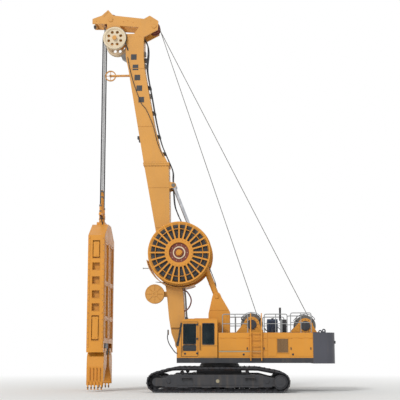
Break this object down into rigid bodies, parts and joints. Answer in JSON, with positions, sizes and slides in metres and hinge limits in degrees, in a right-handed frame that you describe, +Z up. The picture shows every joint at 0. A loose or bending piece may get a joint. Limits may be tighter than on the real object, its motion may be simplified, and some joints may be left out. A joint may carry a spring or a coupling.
{
  "type": "diaphragm wall grab on tracks",
  "caption": "Tracked trench grab machine: slewing upper works with cab and winches, a luffing mast with hose reels, and a tall guide-frame grab hanging from its head.",
  "frame": {"origin": "middle of the machine's base: the middle of its length and width, on the ground under the tracks", "axes": "+Z up; -X is the working end with mast and grab, +X the tail; -Y is the side with the cab"},
  "size_m": [10.65, 4.4, 17.23],
  "materials": {
    "yellow_paint": "satin",
    "mast_paint": "satin",
    "dark_paint": "matt",
    "track_steel": "worn",
    "counterweight_paint": "satin",
    "bare_steel": "worn",
    "rod_chrome": "polished",
    "pulley_cream": "satin",
    "hub_red": "satin",
    "hose_rubber": "matt",
    "rope_wire": "greased",
    "cab_glass": "tinted",
    "seat_cloth": "woven",
    "console_plastic": "grained",
    "cooler_paint": "satin",
    "engine_iron": "painted",
    "rail_steel": "satin"
  },
  "bodies": {
    "undercarriage": {"carbody": "dark_paint", "track_frames": "dark_paint", "track_left": "track_steel", "track_right": "track_steel", "idlers": "track_steel", "sprockets": "track_steel", "track_rollers": "track_steel", "slew_ring": "dark_paint"},
    "upper": {"deck_frame": "dark_paint", "mast_foot_pin": "bare_steel", "side_housings": "yellow_paint", "engine_housing": "yellow_paint", "winch_platform": "dark_paint", "counterweight": "counterweight_paint", "engine_block": "engine_iron", "cab_shell": "yellow_paint", "cab_glass": "cab_glass", "operator_seat": "seat_cloth", "cab_console": "console_plastic", "luff_tower": "yellow_paint", "tower_pin": "bare_steel", "winch_frame_front": "yellow_paint", "winch_frame_rear": "yellow_paint", "cooler_box": "cooler_paint", "exhaust": "dark_paint", "ladder": "yellow_paint", "handrails": "rail_steel"},
    "cab_door": {"cab_door": "yellow_paint", "door_glass": "cab_glass"},
    "winch_front": {"winch_drum_front": "bare_steel"},
    "winch_rear": {"winch_drum_rear": "bare_steel"},
    "mast": {"mast_lower": "mast_paint", "mast_upper": "mast_paint", "mast_head": "mast_paint", "guide_arm": "mast_paint", "reel_bracket": "mast_paint", "cable_reel_bracket": "mast_paint", "mast_eye": "mast_paint"},
    "head_sheaves_front": {"sheaves_front": "hub_red"},
    "head_sheaves_rear": {"sheaves_rear": "hub_red"},
    "hose_pulleys": {"hose_pulleys": "pulley_cream"},
    "guide_wheel": {"guide_wheel": "mast_paint"},
    "hose_reel_left": {"hose_reel_left": "yellow_paint", "hose_pack_left": "hose_rubber"},
    "hose_reel_right": {"hose_reel_right": "yellow_paint", "hose_pack_right": "hose_rubber"},
    "cable_reel": {"cable_reel": "mast_paint"},
    "luff_barrels": {"luff_barrels": "yellow_paint"},
    "luff_rods": {"luff_rods": "rod_chrome"},
    "hanger": {"hoist_ropes": "rope_wire", "hanging_hoses": "hose_rubber"},
    "grab": {"grab_frame": "yellow_paint", "grab_head": "yellow_paint", "grab_cylinder": "dark_paint", "jaw_bearing": "dark_paint"},
    "crosshead": {"crosshead": "dark_paint"},
    "jaw_near": {"jaw_near": "yellow_paint"},
    "jaw_far": {"jaw_far": "yellow_paint"}
  },
  "joints": [
    {"name": "slewing", "type": "hinge", "parent": "undercarriage", "child": "upper", "pos_m": [0.455, 0, 1.2], "axis": [0, 0, 1], "continuous": true},
    {"name": "cab_door_hinge", "type": "hinge", "parent": "upper", "child": "cab_door", "pos_m": [-0.405, -1.565, 2.2], "axis": [0, 0, 1], "range_deg": [0, 100]},
    {"name": "winch_front_spin", "type": "hinge", "parent": "upper", "child": "winch_front", "pos_m": [1.855, 0, 2.83], "axis": [0, 1, 0], "continuous": true},
    {"name": "winch_rear_spin", "type": "hinge", "parent": "upper", "child": "winch_rear", "pos_m": [4.155, 0, 2.77], "axis": [0, 1, 0], "continuous": true},
    {"name": "mast_luff", "type": "hinge", "parent": "upper", "child": "mast", "pos_m": [-1.205, 0, 2], "axis": [0, -1, 0], "range_deg": [-4, 8]},
    {"name": "luff_barrel_swing", "type": "hinge", "parent": "upper", "child": "luff_barrels", "pos_m": [0.355, 0, 4.05], "axis": [0, -1, 0], "range_deg": [-6, 11]},
    {"name": "luff_rod_slide", "type": "slide", "parent": "luff_barrels", "child": "luff_rods", "axis": [-0.3616, 0, 0.9323], "range_m": [-0.17, 0.33]},
    {"name": "head_sheaves_front_spin", "type": "hinge", "parent": "mast", "child": "head_sheaves_front", "pos_m": [-4.479, 0, 16.76], "axis": [0, 1, 0], "continuous": true},
    {"name": "head_sheaves_rear_spin", "type": "hinge", "parent": "mast", "child": "head_sheaves_rear", "pos_m": [-2.485, 0, 16.41], "axis": [0, 1, 0], "continuous": true},
    {"name": "hose_pulleys_spin", "type": "hinge", "parent": "mast", "child": "hose_pulleys", "pos_m": [-4.265, 0, 15.82], "axis": [0, 1, 0], "continuous": true},
    {"name": "guide_wheel_spin", "type": "hinge", "parent": "mast", "child": "guide_wheel", "pos_m": [-4.505, 0, 14.2], "axis": [0, 1, 0], "continuous": true},
    {"name": "hose_reel_left_spin", "type": "hinge", "parent": "mast", "child": "hose_reel_left", "pos_m": [-1.245, 0, 5.9], "axis": [0, 1, 0], "continuous": true},
    {"name": "hose_reel_right_spin", "type": "hinge", "parent": "mast", "child": "hose_reel_right", "pos_m": [-1.245, 0, 5.9], "axis": [0, 1, 0], "continuous": true},
    {"name": "cable_reel_spin", "type": "hinge", "parent": "mast", "child": "cable_reel", "pos_m": [-2.335, 0, 4.15], "axis": [0, 1, 0], "continuous": true},
    {"name": "hanger_swing", "type": "hinge", "parent": "mast", "child": "hanger", "pos_m": [-4.795, 0, 15.82], "axis": [0, -1, 0], "range_deg": [-8.5, 4.5]},
    {"name": "grab_hoist", "type": "slide", "parent": "hanger", "child": "grab", "axis": [0, 0, 1], "range_m": [0, 4.9], "deforming": ["hoist_ropes", "hanging_hoses"]},
    {"name": "jaw_near_close", "type": "hinge", "parent": "grab", "child": "jaw_near", "pos_m": [-4.795, -0.4, 1.62], "axis": [1, 0, 0], "range_deg": [0, 45]},
    {"name": "jaw_far_close", "type": "hinge", "parent": "grab", "child": "jaw_far", "pos_m": [-4.795, 0.4, 1.62], "axis": [-1, 0, 0], "range_deg": [0, 45]},
    {"name": "crosshead_slide", "type": "slide", "parent": "grab", "child": "crosshead", "axis": [0, 0, -1], "range_m": [0, 0.46]}
  ],
  "couplings": [
    {"joint": "luff_barrel_swing", "follows": "mast_luff", "ratio": 1.23},
    {"joint": "luff_rod_slide", "follows": "mast_luff", "m_per_rad": 2.25},
    {"joint": "hanger_swing", "follows": "mast_luff", "ratio": -1},
    {"joint": "jaw_far_close", "follows": "jaw_near_close", "ratio": 1},
    {"joint": "crosshead_slide", "follows": "jaw_near_close", "m_per_rad": 0.5804}
  ]
}
